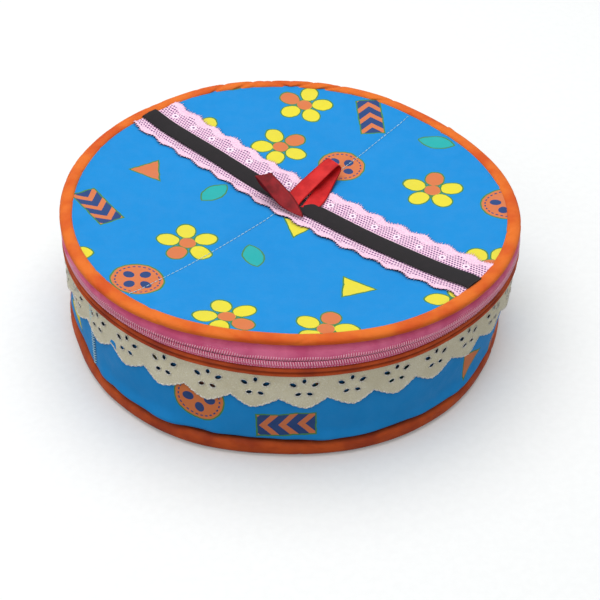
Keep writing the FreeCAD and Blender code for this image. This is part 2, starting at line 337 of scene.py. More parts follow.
class Shader:
    """A material with short ways to add nodes."""

    def __init__(self, name, sheen=0.0, **sockets):
        self.material = bpy.data.materials.new(name)
        self.material.use_nodes = True
        self.tree = self.material.node_tree
        self.bsdf = self.tree.nodes["Principled BSDF"]
        given = {"Sheen Weight": sheen}
        if sheen:
            given["Specular IOR Level"] = 0.25
        for socket, value in sockets.items():
            given[socket.replace("_", " ")] = value
        self.feed(self.bsdf, given)
        self.cloth = self.value("ShaderNodeUVMap", uv_map="cloth")
        self.place = self.value("ShaderNodeTexCoord", out="Object")

    def feed(self, node, inputs):
        """Sets or links a node's inputs, given by name or in their order."""
        pairs = inputs.items() if isinstance(inputs, dict) else enumerate(inputs)
        for key, value in pairs:
            if isinstance(value, Value):
                self.tree.links.new(value.socket, node.inputs[key])
            else:
                node.inputs[key].default_value = value

    def add(self, kind, inputs=(), **settings):
        node = self.tree.nodes.new(kind)
        for key, value in settings.items():
            setattr(node, key, value)
        self.feed(node, inputs)
        return node

    def value(self, kind, inputs=(), out=0, **settings):
        return Value(self, self.add(kind, inputs, **settings).outputs[out])

    def math(self, operation, *inputs):
        return self.value("ShaderNodeMath", inputs, operation=operation)

    def length(self, x, y):
        return self.math("SQRT", x * x + y * y)

    def wave(self, along, pitch):
        return self.math("SINE", along * (TURN / pitch))

    def mix(self, factor, a, b, kind="RGBA"):
        inputs = {"Factor": factor, "A": a, "B": b}
        return self.value("ShaderNodeMix", inputs, "Result", data_type=kind)

    def cloudy(self, cloud, a, b):
        """One tone where a noise is low and another where it is high."""
        return self.mix(self.ramp(cloud, 0.3, 0.7), a, b)

    def gaps(self, tone, weave, strength, dark):
        """The tone, darker between the threads."""
        return self.mix((1.0 - weave) * strength, tone, dark)

    def noise(self, pitch, detail=2.0, roughness=0.5, vector=None):
        inputs = {"Vector": vector or self.place, "Scale": 1 / pitch}
        inputs |= {"Detail": detail, "Roughness": roughness}
        return self.value("ShaderNodeTexNoise", inputs, "Fac")

    def ramp(self, value, start, end, a=0.0, b=1.0):
        inputs = (value, start, end, a, b)
        return self.value("ShaderNodeMapRange", inputs, interpolation_type="SMOOTHSTEP")

    def join(self, x, y):
        return self.value("ShaderNodeCombineXYZ", (x, y))

    def split(self, vector):
        node = self.add("ShaderNodeSeparateXYZ", (vector,))
        return [Value(self, socket) for socket in node.outputs]

    def weave(self, pitch, vector=None):
        """Over and under threads: a height from about 0 to 1."""
        x, y, _ = self.split(vector or self.cloth)
        return self.wave(x, pitch) * self.wave(y, pitch) * 0.5 + 0.5

    def painted_shade_near(self, tone, distance, dark, strength):
        """The tone with painted shade: darker where something lies close over it."""
        inputs = {"Distance": distance * MM}
        clear = self.value("ShaderNodeAmbientOcclusion", inputs, "AO", samples=6)
        return self.mix((1.0 - clear) * strength, tone, dark)

    def finish(self, colour, rough, *layers):
        """Sets the colour, the roughness ramp and bumps of (height, distance in mm, strength)."""
        normal = None
        for height, distance, strength in layers:
            inputs = {"Strength": strength, "Distance": distance * MM, "Height": height}
            if normal:
                inputs["Normal"] = normal
            normal = self.value("ShaderNodeBump", inputs)
        self.feed(self.bsdf, {"Base Color": colour, "Roughness": self.ramp(*rough), "Normal": normal})
        return self.material


def print_colours(shader):
    """Scattered flowers, triangles, discs, bars and leaves on blue."""
    def turn(vector, angle):
        inputs = {"Vector": vector, "Angle": angle}
        return shader.value("ShaderNodeVectorRotate", inputs, rotation_type="Z_AXIS")

    turned = turn(shader.cloth, PRINT_LEAN)
    inputs = {"Vector": turned, "Scale": 1 / PRINT_CELL, "Randomness": 0.38}
    cells = shader.add("ShaderNodeTexVoronoi", inputs, voronoi_dimensions="2D").outputs
    middle = Value(shader, cells["Position"])
    chance = shader.split(Value(shader, cells["Color"]))
    apart = shader.value("ShaderNodeVectorMath", (turned, middle), operation="SUBTRACT")
    spun = turn(apart, chance[1] * TURN)
    inputs = {0: spun, "Scale": 1 / PRINT_SCALE}
    x, y, _ = shader.split(shader.value("ShaderNodeVectorMath", inputs, operation="SCALE"))
    wobble = shader.noise(6 * MM, vector=turned)
    radius = shader.length(x, y)
    angle = shader.math("ARCTAN2", y, x)

    def fold(parts):
        """x and y turned into the nearest of equal sectors, and which one it was."""
        step = TURN / parts
        which = shader.math("ROUND", angle / step)
        left = angle - which * step
        return radius * shader.math("COSINE", left), radius * shader.math("SINE", left), which

    def oval(fx, fy, out, half_x, half_y):
        """Distance outside an oval, in metres, roughly."""
        far = shader.length((fx - out) / half_x, fy / half_y)
        return (far - 1.0) * ((half_x + half_y) / 2)

    # Flower: five petals, one of them orange, round an orange heart
    fx, fy, which = fold(5)
    heart = radius - 3.9 * MM
    flower = shader.math("MINIMUM", oval(fx, fy, 9.3 * MM, 5.2 * MM, 4.3 * MM), heart)
    orange = shader.math("MAXIMUM", abs(which) < 0.5, heart < 0.0)
    # Triangle
    triangle = fold(3)[0] - 4.6 * MM
    # Disc with a broken ring and four dots
    fx, fy, _ = fold(4)
    disc = radius - 11.5 * MM
    dots = oval(fx, fy, 5.2 * MM, 2.7 * MM, 2.3 * MM) < 0.0
    dashes = shader.math("FRACT", angle * (26 / TURN)) < 0.55
    band = abs(radius - 9.9 * MM) < 0.35 * MM
    navy = shader.math("MAXIMUM", dots, dashes * band)
    # Bar with chevrons
    bar = shader.math("MAXIMUM", abs(x) - 6.0 * MM, abs(y) - 13.0 * MM)
    chevron = shader.math("FRACT", (abs(x) * 0.9 + y) / (8.6 * MM)) < 0.42
    # Leaf: where two circles cross
    sides = [shader.length(x, y + shift) for shift in (6.5 * MM, -6.5 * MM)]
    leaf = shader.math("MAXIMUM", *sides) - 11.0 * MM

    distance = flower
    colour = shader.mix(orange, YELLOW, ORANGE_PRINT)
    for limit, shape, paint in (
        (0.68, triangle, shader.mix(chance[2] < 0.45, YELLOW, ORANGE_PRINT)),
        (0.48, disc, shader.mix(navy, ORANGE_PRINT, NAVY)),
        (0.34, bar, shader.mix(chevron, NAVY, ORANGE_PRINT)),
        (0.20, leaf, TEAL),
    ):
        chosen = chance[0] < limit
        distance = shader.mix(chosen, distance, shape, "FLOAT")
        colour = shader.mix(chosen, colour, paint)
    distance = distance + (wobble - 0.5) * (1.2 * MM)
    outlined = shader.mix(distance < 0.75 * MM, BLUE, GREEN)
    return shader.mix(distance < 0.0, outlined, colour)


def printed_cotton(name):
    """Smooth printed cotton: fine weave, faint creases, soft sheen."""
    shader = Shader(name, sheen=0.04, Sheen_Roughness=0.5)
    weave = shader.weave(0.55 * MM)
    tone = shader.mix(shader.noise(38 * MM, detail=4) * 0.16, print_colours(shader), srgb(24, 96, 176))
    tone = shader.gaps(tone, weave, 0.10, srgb(20, 70, 130))
    # Painted shade: near-black navy where the lace, the bindings and the trims lie close over the cloth
    tone = shader.painted_shade_near(tone, 4.0, srgb(8, 18, 40), 1.25)
    crease = shader.noise(15 * MM, detail=5, roughness=0.55)
    rough = (shader.noise(9 * MM), 0.3, 0.7, 0.68, 0.86)
    return shader.finish(tone, rough, (weave, 0.10, 0.35), (crease, 1.6, 0.42))


def bias_cotton(name, light, dark):
    """Orange bias strip: diagonal weave, drag lines and painted shade at its edges, where other parts
    lie close.
    """
    shader = Shader(name, sheen=0.04, Sheen_Roughness=0.45)
    x, y, _ = shader.split(shader.cloth)
    weave = shader.weave(0.6 * MM, shader.join(x + y, x - y))
    drag = shader.noise(2.6 * MM, detail=3, vector=shader.join(x * 0.35, y + x * 0.25))
    tone = shader.mix(shader.ramp(shader.noise(22 * MM, detail=3), 0.35, 0.7), light, dark)
    tone = shader.mix(shader.ramp(drag, 0.55, 0.8, 0.0, 0.35), tone, dark)
    tone = shader.gaps(tone, weave, 0.12, dark)
    # Painted shade: dark red-brown where other parts lie close over the strip
    tone = shader.painted_shade_near(tone, 3.5, srgb(70, 16, 8), 0.65)
    return shader.finish(tone, (drag, 0.3, 0.8, 0.62, 0.82), (weave, 0.10, 0.4), (drag, 0.5, 0.45))


def lace_cotton(name):
    """Cream eyelet cotton with raised thread work."""
    shader = Shader(name, sheen=0.25, Sheen_Roughness=0.6)
    weave = shader.weave(0.5 * MM)
    curls = abs(shader.math("SINE", shader.noise(3.4 * MM, detail=1.5) * 34.0))
    tone = shader.mix(shader.ramp(curls, 0.75, 1.0), srgb(238, 230, 198), srgb(252, 247, 226))
    aged = shader.ramp(shader.noise(16 * MM, detail=3), 0.3, 0.75, 0.0, 0.5)
    tone = shader.gaps(shader.mix(aged, tone, srgb(216, 206, 170)), weave, 0.22, srgb(140, 128, 100))
    return shader.finish(tone, (curls, 0.5, 1.0, 0.9, 0.7), (weave, 0.12, 0.5), (curls, 0.35, 0.5))


def sewing_thread(name, light, dark):
    """Twisted sewing thread."""
    shader = Shader(name, sheen=0.3)
    strand = shader.noise(0.9 * MM)
    tone = shader.mix(shader.ramp(strand, 0.35, 0.65), dark, light)
    return shader.finish(tone, (strand, 0.3, 0.7, 0.5, 0.75), (strand, 0.25, 0.6))


def zip_cloth(name):
    """Pink woven zip tape: herringbone rows and a slight lustre."""
    shader = Shader(name, sheen=0.2, Sheen_Roughness=0.4)
    x, y, _ = shader.split(shader.cloth)
    height = shader.wave(x + shader.math("PINGPONG", y, 1.1 * MM), 0.8 * MM) * 0.5 + 0.5
    cloud = shader.noise(12 * MM, detail=4)
    tone = shader.cloudy(cloud, srgb(252, 128, 170), srgb(232, 98, 144))
    tone = shader.gaps(tone, height, 0.28, srgb(180, 60, 100))
    return shader.finish(tone, (cloud, 0.3, 0.7, 0.6, 0.8), (height, 0.15, 0.5), (cloud, 1.6, 0.6))


def coil_nylon(name):
    """Pale pink nylon of the zip's coil."""
    shader = Shader(name, Coat_Weight=0.15)
    cloud = shader.noise(3 * MM)
    tone = shader.mix(cloud, srgb(250, 160, 192), srgb(255, 208, 222))
    return shader.finish(tone, (cloud, 0.3, 0.7, 0.28, 0.45), (cloud, 0.08, 0.3))


def pink_net(name):
    """Pink net lace: a field of small holes, rosettes and dense edges."""
    shader = Shader(name, sheen=0.3, Sheen_Roughness=0.5)
    x, y, _ = shader.split(shader.cloth)

    def cell(value, size):
        """From -0.5 to 0.5 across each cell."""
        return shader.math("FRACT", value / size) - 0.5

    pitch = 1.9 * MM
    shift = shader.math("MODULO", shader.math("FLOOR", y / pitch), 2.0) * (pitch / 2)
    hole = shader.length(cell(x + shift, pitch), cell(y, pitch)) < 0.31
    # Rosettes along a line in the wider half
    rose = shader.length(cell(x, ROSETTE_PITCH) * ROSETTE_PITCH, y - 27.5 * MM)
    ring = (rose < 2.3 * MM) * (rose > 0.8 * MM)
    # Plain net stays clear of the two edges and of a wavy band between rosettes
    edge = shader.math("MINIMUM", y - 3.2 * MM, 32.5 * MM - y)
    wave = shader.math("COSINE", x * (TURN / ROSETTE_PITCH)) * (1.3 * MM)
    open_net = hole * (edge + wave > 0.0) * (1.0 - ring)
    open_net = shader.math("MAXIMUM", open_net, rose < 0.8 * MM)
    thread = shader.noise(0.9 * MM)
    tone = shader.cloudy(thread, srgb(252, 222, 240), srgb(244, 192, 222))
    tone = shader.mix(ring, tone, srgb(255, 232, 246))
    tone = shader.mix(open_net, tone, srgb(112, 48, 122))
    return shader.finish(tone, (thread, 0.3, 0.7, 0.75, 0.9), (thread - open_net, 0.3, 0.6))


def black_webbing(name):
    """Matt black woven tape."""
    shader = Shader(name, sheen=0.06, Sheen_Roughness=0.5)
    x, y, _ = shader.split(shader.cloth)
    height = shader.wave(x, 0.9 * MM) * shader.wave(y, 1.6 * MM) * 0.5 + 0.5
    fuzz = shader.noise(5 * MM, detail=5)
    tone = shader.mix(shader.ramp(fuzz, 0.35, 0.7), srgb(24, 21, 24), srgb(38, 34, 37))
    tone = shader.mix(height * 0.3, tone, srgb(56, 51, 54))
    return shader.finish(tone, (fuzz, 0.3, 0.7, 0.75, 0.92), (height, 0.15, 0.5))


def satin(name, light, dark):
    """Satin ribbon: fine cross ribs, a lustre along them and darker selvages."""
    shader = Shader(name, sheen=0.03, Specular_IOR_Level=0.2)
    x, y, _ = shader.split(shader.cloth)
    cloud = shader.noise(8 * MM, detail=3)
    selvage = shader.math("MAXIMUM", y < 0.7 * MM, y > RIBBON_WIDTH - 0.7 * MM)
    tone = shader.mix(selvage * 0.5, shader.cloudy(cloud, light, dark), dark)
    rib = shader.wave(x, 0.5 * MM)
    return shader.finish(tone, (cloud, 0.3, 0.7, 0.42, 0.56), (rib, 0.06, 0.3), (cloud, 0.5, 0.25))


def lining_cloth(name):
    """Off-white quilted lining with sewn diamonds."""
    shader = Shader(name, sheen=0.1, Sheen_Roughness=0.4)
    x, y, _ = shader.split(shader.cloth)
    lines = [0.5 - abs(shader.math("FRACT", slant / (32 * MM)) - 0.5) for slant in (x + y, x - y)]
    groove = shader.math("MINIMUM", *lines)
    cloud = shader.noise(26 * MM, detail=3)
    tone = shader.cloudy(cloud, srgb(232, 230, 222), srgb(212, 210, 204))
    tone = shader.mix(shader.ramp(groove, 0.02, 0.05, 0.35, 0.0), tone, srgb(150, 148, 142))
    quilt = shader.ramp(groove, 0.0, 0.32)
    rough = (cloud, 0.3, 0.7, 0.55, 0.72)
    return shader.finish(tone, rough, (shader.weave(0.7 * MM), 0.08, 0.3), (quilt, 2.2, 0.7))


def foam_material(name):
    """Open-cell foam, hidden between the cloths."""
    shader = Shader(name)
    inputs = {"Vector": shader.place, "Scale": 1 / (1.1 * MM)}
    pores = shader.value("ShaderNodeTexVoronoi", inputs, "Distance")
    tone = shader.mix(shader.ramp(pores, 0.1, 0.5), srgb(196, 190, 160), srgb(238, 236, 222))
    return shader.finish(tone, (pores, 0.1, 0.6, 1.0, 0.85), (pores, 0.4, 0.6))


def board_material(name):
    """Grey-brown pressed board."""
    shader = Shader(name)
    fibre = shader.noise(1.5 * MM, detail=5)
    tone = shader.cloudy(fibre, srgb(150, 128, 100), srgb(178, 156, 124))
    return shader.finish(tone, (fibre, 0.3, 0.7, 0.78, 0.92), (fibre, 0.2, 0.5))


def painted_slider(name):
    """Pink lacquer on die-cast metal, worn pale at high spots."""
    shader = Shader(name, Coat_Weight=0.4, Coat_Roughness=0.15)
    wear = shader.noise(1.6 * MM, detail=5, roughness=0.6)
    tone = shader.mix(shader.ramp(wear, 0.62, 0.72), srgb(222, 96, 136), srgb(214, 200, 204))
    return shader.finish(tone, (wear, 0.4, 0.7, 0.28, 0.5), (wear, 0.08, 0.35))


# The drum

def ring_uv(height):
    """UV places round the drum for a band of a height, in metres."""
    return lambda a, b: (a * TURN * OUTER, b * height)


def ring(name, nu, nv, section, height, closed=True):
    """A band round the drum; section gives a radius and a height for an angle and a share."""
    def place(a, b):
        radius, z = section(a * TURN, b)
        return settle(polar(radius, a * TURN, z))

    return grid(name, nu, nv, place, wrap_u=True, wrap_v=closed, uv=ring_uv(height))


def wall_piece(material):
    """Side cover: eased out by the foam, puckered where it goes into the bottom seam."""
    top = RIM_LOW + 3 * MM

    def section(phi, b):
        hem = BOTTOM_TOP - 1.4 * MM + 0.9 * MM * ripple(phi, 36 * MM, 3)
        z = hem + (top - hem) * b
        up = z - BOTTOM_TOP
        swell = 0.9 * MM * sin(pi * min(max(up / (RIM_LOW - BOTTOM_TOP), 0), 1))
        tuck = smooth(-1.2 * MM, 3 * MM, up)
        fold = max(0.0, ripple(phi, 17 * MM, 5)) * bump_at(up, 4.5 * MM, 5 * MM) * 1.5 * MM
        drag = lump((phi * OUTER, z * 0.6 + phi * OUTER * 0.3, 0), 17 * MM, 2) * 0.8 * MM
        roll = 2.0 * MM * bump_at(up, 2.5 * MM, 4.5 * MM) * (0.6 + 0.7 * ripple(phi, 42 * MM, 4))
        radius = WALL - 3.2 * MM * (1 - tuck) + swell + fold + roll + drag * tuck
        near_rim = smooth(LACE_LOW + 8 * MM, RIM_LOW - 4 * MM, z)
        radius -= near_rim * (swell + drag)
        return radius, z

    obj = ring("side_cover", 720, 40, section, top - BOTTOM_TOP, closed=False)
    finish_piece(obj, "base", material, "base_side_cover")


def bottom_binding(material):
    """Round orange piping at the foot of the wall."""
    half_h = BOTTOM_TOP / 2
    centre = OUTER - 4.4 * MM

    def section(phi, b):
        s = TURN * b
        plump = 1 + 0.05 * ripple(phi, 22 * MM, 8)
        radius = centre + 4.3 * MM * plump * cos(s)
        z = half_h * (1 + sin(s)) + 0.35 * MM * ripple(phi, 30 * MM, 6) * smooth(-1, 1, sin(s))
        groove = 0.55 * MM * bump_at(s if s < pi else s - TURN, 0.12, 0.16)
        crease = twist_crease(phi, s, BOTTOM_CREASES) + groove
        return radius - crease * cos(s), max(z - crease * sin(s), 0.0)

    obj = ring("bottom_piping", 720, 20, section, 28 * MM)
    finish_piece(obj, "base", material, "bottom_binding")


def creases(seed, count, depth):
    """Diagonal drag folds of a bias strip: (angle, lean, depth, width)."""
    draw = random.Random(seed)
    folds = []
    for _ in range(count):
        angle = draw.uniform(0, TURN)
        lean = draw.choice((-1, 1)) * draw.uniform(18, 40)
        folds.append((angle, lean, depth * draw.uniform(0.4, 1.0), draw.uniform(0.25, 0.5)))
    return folds


BOTTOM_CREASES = creases(4, 26, 0.35 * MM)
RIM_CREASES = creases(9, 22, 0.3 * MM)
LID_CREASES = creases(12, 24, 0.35 * MM) + [
    (radians(angle), lean, deep * MM, width)
    for angle, lean, deep, width in (
        (78, 22.0, 1.7, 0.34),
        (86, 20.0, 1.8, 0.32),
        (94, -24.0, 1.5, 0.34),
        (103, 22.0, 1.5, 0.34),
        (111, 26.0, 1.2, 0.32),
        (62, 24.0, 1.2, 0.32),
    )
]


def twist_crease(phi, s, folds):
    """Depth of the folds at an angle and a place round the strip's section."""
    depth = 0.0
    for angle, lean, deep, width in folds:
        off = (phi - angle + pi) % TURN - pi
        if abs(off) > 0.12:
            continue
        line = pi / 2 + lean * off
        gap = (s - line + pi) % TURN - pi
        depth += deep * exp(-((gap / width) ** 2)) * (1 - smooth(0.05, 0.12, abs(off)))
    return depth


def rim_binding(material):
    """Two-lobed orange binding where the zip, the lace and the wall meet."""
    tall = RIM_TOP - RIM_LOW
    front = 0.72

    def section(phi, b):
        wander = 0.35 * MM * ripple(phi, 34 * MM, 14)
        crease = twist_crease(phi, TURN * b, RIM_CREASES)
        if b <= front:
            t = b / front
            lobe = abs(sin(TURN * t)) ** 0.62
            deep = 0.7 * MM + 2.0 * MM * lobe * (1.0 if t < 0.5 else 0.86)
            radius = WALL + deep - crease
            z = RIM_LOW + tall * t
        else:
            t = (b - front) / (1 - front)
            radius = WALL - 0.2 * MM + 0.9 * MM * (2 * t - 1) ** 2
            z = RIM_TOP - tall * t
        return radius, z + wander

    obj = ring("rim_piping", 720, 28, section, 18 * MM)
    finish_piece(obj, "base", material, "rim_binding")


# Eyelets of a scallop: across from its middle, down from the rim, half width, half height, lean
EYELETS = (
    (-6.1, 6.0, 2.0, 1.45, 0.5),
    (6.1, 6.0, 2.0, 1.45, -0.5),
    (-3.2, 12.2, 1.75, 1.25, -0.4),
    (3.2, 12.2, 1.75, 1.25, 0.4),
    (0.0, 3.4, 1.3, 1.7, 0.0),
)


def lace_surface(a, down):
    """A point of the hanging lace: a round the drum, down from the rim."""
    phi = a * TURN
    step = (a * SCALLOPS) % 1.0
    out = smooth(0, LACE_DROP, down)
    flare = (0.5 + 1.2 * out) * MM
    cup = 0.55 * MM * cos(TURN * step) * out
    sway = 0.7 * MM * ripple(phi, 40 * MM, 21) * out
    radius = WALL + 0.5 * MM + flare - cup + max(sway, -0.6 * MM)
    return settle(polar(radius, phi, RIM_LOW + LACE_RISE - down))


def lace_edge(a):
    """How far down the lace's edge is at a place round the drum."""
    step = (a * SCALLOPS) % 1.0
    which = int(a * SCALLOPS) % SCALLOPS
    draw = random.Random(100 + which)
    tip = 0.5 + draw.uniform(-0.08, 0.08)
    off = (step / tip if step < tip else (1 - step) / (1 - tip))
    rise = (1 - off) ** 1.45
    picot = 0.25 * MM * sin(a * TURN * OUTER / (0.55 * MM))
    return LACE_DROP + LACE_RISE - 6.2 * MM * rise + picot


def eyelet_lace(cloth, thread):
    """Scalloped lace with real eyelets, whipped rims and an overlocked edge."""
    per = 34
    rows = 26
    nu = per * SCALLOPS
    width = TURN * WALL / SCALLOPS
    verts = []
    inside = []
    for i in range(nu):
        step = (i % per) / per
        across = (step - 0.5) * width
        edge = lace_edge(i / nu)
        for j in range(rows + 1):
            down = edge * j / rows
            u = across
            v = down
            state = 0
            for cx, cy, rx, ry, lean in EYELETS:
                dx = u - cx * MM
                dy = v - cy * MM - LACE_RISE
                px = (dx * cos(lean) + dy * sin(lean)) / (rx * MM)
                py = (-dx * sin(lean) + dy * cos(lean)) / (ry * MM)
                q = hypot(px, py)
                if q < 0.5:
                    state = 2
                elif q < 1.28:
                    state = 1
                    u = cx * MM + dx / q
                    v = cy * MM + LACE_RISE + dy / q
            verts.append(lace_surface((i + (u - across) / width * per) / nu, v))
            inside.append(state)
    faces = []
    spots = []
    for i in range(nu):
        for j in range(rows):
            cell = ((i, j), (i, j + 1), (i + 1, j + 1), (i + 1, j))
            ids = [(p % nu) * (rows + 1) + q for p, q in cell]
            states = [inside[k] for k in ids]
            if 2 in states or states.count(1) == 4:
                continue
            faces.append(ids)
            spots += [(p / nu * TURN * WALL, q / rows * LACE_DROP) for p, q in cell]
    used = sorted({k for face in faces for k in face})
    renumbered = {k: n for n, k in enumerate(used)}
    faces = [[renumbered[k] for k in face] for face in faces]
    obj = new_object("eyelet_frill", [verts[k] for k in used], faces, spots)
    finish_piece(obj, "base", cloth, "eyelet_lace")

    rims = []
    for scallop in range(SCALLOPS):
        for cx, cy, rx, ry, lean in EYELETS:
            loop = []
            for k in range(14):
                s = TURN * k / 14
                px = rx * 1.12 * cos(s)
                py = ry * 1.12 * sin(s)
                dx = px * cos(lean) - py * sin(lean)
                dy = px * sin(lean) + py * cos(lean)
                share = (scallop + 0.5 + (cx + dx) * MM / width) / SCALLOPS
                point = lace_surface(share, (cy + dy) * MM + LACE_RISE)
                out = Vector((point.x, point.y, 0)).normalized() * 0.22 * MM
                loop.append(point + out)
            rims.append(tube(loop, lambda i: (0.34 + 0.07 * (i % 2)) * MM, 5, closed=True))
    whip = join_parts("eyelet_rims", rims)
    finish_piece(whip, "base", thread)

    path = []
    count = SCALLOPS * 44
    for i in range(count):
        a = i / count
        path.append(lace_surface(a, lace_edge(a)) + Vector((0, 0, 0.1 * MM)))
    bead = tube(path, lambda i: (0.42 + 0.16 * (i % 2)) * MM, 6, closed=True)
    edge = join_parts("lace_overlock", [bead])
    finish_piece(edge, "base", thread)
    drops = [lace_edge(i / nu) for i in range(nu)]


def zip_radius(phi):
    return WALL - 0.3 * MM + belly(phi)


def tape_piece(name, node, section, zip_run, material, body, turns):
    """A cloth strip with two faces along the zip; section gives (out, z) along its height."""
    thick = 0.3 * MM
    start, sweep = zip_run

    def place(a, b):
        phi = start + sweep * a
        t, side = two_faces(b)
        out, z = section(phi, t)
        return settle(polar(zip_radius(phi) + out + side * thick, phi, z))

    obj = grid(name, turns, 28, place, wrap_v=True, uv=lambda a, b: (a * sweep * OUTER, b * 28 * MM))
    finish_piece(obj, body, material, node)


def slider_room(phi):
    """1 where the slider stops at either end of its travel, 0 elsewhere."""
    return 1 - smooth(21, 30, from_hinge(phi))


def spread(phi):
    """How far each row stands off the middle of the zip."""
    return TAPE_GAP + 0.55 * MM * slider_room(phi)


def lower_section(phi, t):
    start = RIM_LOW + 3 * MM
    z = start + (CHAIN - spread(phi) - start) * t
    return -belly(phi) * (1 - t) + 0.5 * MM * (1 - t), z


def upper_section(phi, t):
    start = CHAIN + spread(phi)
    z = start + (LID_SEAM + 0.8 * MM - start) * t
    loose = belly(phi) / ZIP_BULGE
    swell = 0.7 * MM * sin(pi * min(t * 1.25, 1.0)) * loose
    wave = 0.8 * MM * ripple(phi, 11 * MM, 31) * sin(pi * t) * loose
    tuck = -2.2 * MM * smooth(0.55, 1.0, t)
    return swell + wave + tuck, z


def stub_section(phi, t):
    start = CHAIN + spread(phi)
    z = start + (LID_SEAM - 0.5 * MM - start) * t
    return 0.0, z


def coil(name, node, side, zip_run, material, body):
    """A nylon coil sewn along the edge of a tape."""
    start, sweep = zip_run
    turns = int(sweep * OUTER / COIL_PITCH)
    steps = 9
    path = []
    for i in range(turns * steps + 1):
        phi = start + sweep * i / (turns * steps)
        s = TURN * i / steps
        room = slider_room(phi)
        middle = (1.2 - 0.15 * room) * MM + spread(phi)
        z = CHAIN + side * (middle + (COIL_RADIUS - 0.25 * room * MM) * sin(s))
        path.append(settle(polar(zip_radius(phi) + 0.25 * MM + COIL_RADIUS * cos(s), phi, z)))
    obj = join_parts(name, [tube(path, COIL_WIRE, 5)])
    finish_piece(obj, body, material, node)


def dashes_along(points, length, gap, sides=5):
    """Separate stitches laid along a fine line of points."""
    parts = []
    walked = 0.0
    run = []
    for here, there in zip(points, points[1:]):
        phase = walked % (length + gap)
        if phase < length:
            run.append(here)
        else:
            if len(run) > 1:
                parts.append(tube(run, THREAD_RADIUS, sides))
            run = []
        walked += (there - here).length
    if len(run) > 1:
        parts.append(tube(run, THREAD_RADIUS, sides))
    return parts


def zip_stitches(thread):
    """The two lines of stitches that hold the coils on their tapes."""
    for name, side, body, (start, sweep) in (
        ("lower_coil_stitches", -1, "base", LOWER_ZIP),
        ("upper_coil_stitches", 1, "lid", UPPER_ZIP),
    ):
        points = []
        count = 2400
        for i in range(count + 1):
            phi = start + sweep * i / count
            z = CHAIN + side * 3.3 * MM
            section = upper_section(phi, 0.2)[0] if side > 0 else 0.1 * MM
            points.append(settle(polar(zip_radius(phi) + section * 0.7 + 0.3 * MM, phi, z)))
        obj = join_parts(name, dashes_along(points, 0.9 * MM, 0.7 * MM, 4))
        finish_piece(obj, body, thread)


def hinge_panel(material):
    """Cloth hinge between the base and the lid."""
    top = LID_SEAM + 1.2 * MM
    bottom = RIM_LOW + 3 * MM

    def place(a, b):
        phi = PANEL_START - 0.01 + (PANEL_END - PANEL_START + 0.02) * a
        t, side = two_faces(b)
        wave = 0.3 * MM * ripple(phi, 9 * MM, 41) * sin(pi * t)
        return settle(polar(WALL + (0.3 + 0.35 * side) * MM + wave, phi, bottom + (top - bottom) * t))

    width = (PANEL_END - PANEL_START) * OUTER
    obj = grid("hinge_cloth", 60, 36, place, wrap_v=True, uv=lambda a, b: (a * width, b * 36 * MM))
    finish_piece(obj, None, material, "hinge_panel")
    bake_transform(obj)


# The lid

def dish(radius):
    """Height of the lid's face, before its small lumps."""
    return LID_EDGE - DISH * (1 - min(radius / LID_INNER, 1.0) ** 2)


def lid_face(x, y):
    """Height of the soft lid's face anywhere."""
    radius = hypot(x, y)
    phi = atan2(y, x)
    along = x * cos(TRIM_TURN) + y * sin(TRIM_TURN)
    across = -x * sin(TRIM_TURN) + y * cos(TRIM_TURN)
    z = dish(radius)
    z += 0.55 * MM * lump((x, y, 0), 42 * MM, 1) * smooth(0, 20 * MM, LID_INNER - radius)
    stitch = bump_at(along - STITCH_ALONG, 0, 3.2 * MM)
    clear = smooth(0, 12 * MM, abs(across - LACE_MIDDLE) - LACE_WIDTH / 2)
    z -= 0.9 * MM * stitch * smooth(0, 12 * MM, LID_INNER - radius) * clear
    rim = smooth(LID_INNER - 16 * MM, LID_INNER - 3 * MM, radius)
    z += 0.8 * MM * rim * ripple(phi, 10 * MM, 51) * (1 - smooth(LID_INNER - 3 * MM, LID_INNER, radius))
    z -= 0.5 * MM * smooth(30 * MM, 0, abs(across - LACE_MIDDLE))
    return z


def on_lid(along, across, above=0.0):
    """A settled point over the lid, in the trims' own directions."""
    x = along * cos(TRIM_TURN) - across * sin(TRIM_TURN)
    y = along * sin(TRIM_TURN) + across * cos(TRIM_TURN)
    return settle(Vector((x, y, lid_face(x, y) + above)))


def lid_cover(material):
    """Dished printed cover of the lid."""
    edge = LID_INNER + 1.6 * MM

    def place(a, b):
        return disc_point(edge * max(b, HUB), a, lid_face)

    def uv(a, b):
        x, y, _ = polar(edge * b, a * TURN, 0)
        return (x + 0.31, y + 0.17)

    obj = grid("lid_cover", 360, 72, place, wrap_u=True, uv=uv)
    finish_piece(obj, "lid", material, "lid_top_cover")


def lid_binding(material):
    """Flat-sided orange binding of the lid, with drag folds and a lapped joint."""
    centre = (LID_INNER + OUTER) / 2
    half_w = (OUTER - LID_INNER) / 2
    middle = (LID_SEAM + LID_TOP) / 2
    half_h = (LID_TOP - LID_SEAM) / 2
    joint = radians(40.2)

    def section(phi, b):
        s = TURN * b
        wide = half_w * (1 + 0.06 * ripple(phi, 38 * MM, 61))
        tall = half_h * (1 + 0.10 * ripple(phi, 24 * MM, 62))
        lap = (phi - joint + pi) % TURN - pi
        thick = 0.55 * MM * smooth(-0.05, -0.004, lap) * (1 - smooth(-0.003, 0.0, lap))
        crease = twist_crease(phi, s, LID_CREASES)
        radius = centre + (wide + thick - crease) * signed_power(cos(s), 0.85)
        z = middle + (tall + thick - crease) * signed_power(sin(s), 0.9)
        return radius, z + 0.3 * MM * ripple(phi, 45 * MM, 63)

    obj = ring("lid_piping", 1080, 26, section, 22 * MM)
    finish_piece(obj, "lid", material, "lid_binding")


def strip_reach(across):
    """Half the length of a strip that ends under the lid's binding."""
    return sqrt((LID_INNER + 1.2 * MM) ** 2 - across ** 2)


